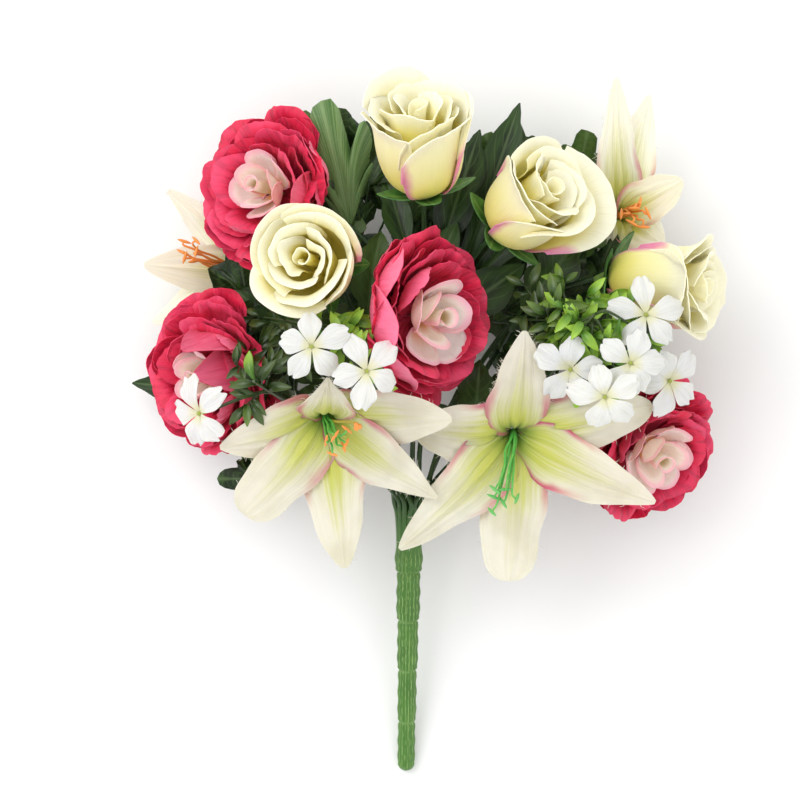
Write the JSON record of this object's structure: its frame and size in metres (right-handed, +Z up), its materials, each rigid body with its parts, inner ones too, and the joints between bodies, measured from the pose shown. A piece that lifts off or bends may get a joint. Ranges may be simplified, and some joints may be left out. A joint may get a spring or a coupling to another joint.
{
  "type": "artificial flower bouquet",
  "caption": "Artificial bouquet lying down: cream roses, crimson ranunculus, cream lilies, white florets and leaves on moulded stems that join in one ribbed handle.",
  "frame": {"origin": "on the surface that the bouquet lies on, under the middle of its outer box", "axes": "+X to the right and +Y from the handle's tip towards the flowers, as seen from above; +Z up, towards the blooms that face the viewer"},
  "size_m": [0.3674, 0.4368, 0.1869],
  "materials": {
    "rose_petal": "matte woven petal, cream with a yellow heart and pink outer edges",
    "ranunculus_petal": "satin woven petal, crimson with darker ruffled edges",
    "ranunculus_heart": "matte woven petal, pale pink to peach",
    "lily_petal": "matte woven petal, cream with a yellow-green throat and pink edges",
    "floret_petal": "matte woven petal, white",
    "dark_leaf": "satin woven leaf, dark green with pressed veins",
    "green_stamen": "moulded, light green",
    "orange_stamen": "moulded, orange",
    "calyx": "moulded, mid green",
    "sprig": "moulded glossy leaves, lime to dark green",
    "stem": "moulded, mid green"
  },
  "bodies": {
    "root": {"stem_frame": "stem", "rose_top_petals": "rose_petal", "rose_top_calyx": "calyx", "rose_left_petals": "rose_petal", "rose_left_calyx": "calyx", "rose_upper_right_petals": "rose_petal", "rose_upper_right_calyx": "calyx", "rose_right_petals": "rose_petal", "rose_right_calyx": "calyx", "ranunculus_upper_left_petals": "ranunculus_petal", "ranunculus_upper_left_heart": "ranunculus_heart", "ranunculus_upper_left_calyx": "calyx", "ranunculus_centre_petals": "ranunculus_petal", "ranunculus_centre_heart": "ranunculus_heart", "ranunculus_centre_calyx": "calyx", "ranunculus_lower_left_petals": "ranunculus_petal", "ranunculus_lower_left_heart": "ranunculus_heart", "ranunculus_lower_left_calyx": "calyx", "ranunculus_lower_right_petals": "ranunculus_petal", "ranunculus_lower_right_heart": "ranunculus_heart", "ranunculus_lower_right_calyx": "calyx", "lily_lower_right_petals": "lily_petal", "lily_lower_right_stamens": "green_stamen", "lily_lower_left_petals": "lily_petal", "lily_lower_left_stamens": "orange_stamen", "lily_far_left_petals": "lily_petal", "lily_far_left_stamens": "orange_stamen", "lily_far_right_petals": "lily_petal", "lily_far_right_stamens": "orange_stamen", "floret_left_1_petals": "floret_petal", "floret_left_2_petals": "floret_petal", "floret_left_3_petals": "floret_petal", "floret_right_1_petals": "floret_petal", "floret_right_2_petals": "floret_petal", "floret_right_3_petals": "floret_petal", "floret_right_4_petals": "floret_petal", "floret_right_5_petals": "floret_petal", "sprig_right": "sprig", "sprig_left": "sprig", "sprig_far_left": "sprig", "leaves_top": "dark_leaf", "leaves_upper_right": "dark_leaf", "leaves_right": "dark_leaf", "leaves_left": "dark_leaf", "leaves_far_left": "dark_leaf", "leaves_centre": "dark_leaf", "leaves_low_right": "dark_leaf", "leaves_mid_left": "dark_leaf", "leaves_mid_right": "dark_leaf", "leaves_back_left": "dark_leaf", "leaves_back_right": "dark_leaf"}
  },
  "joints": []
}
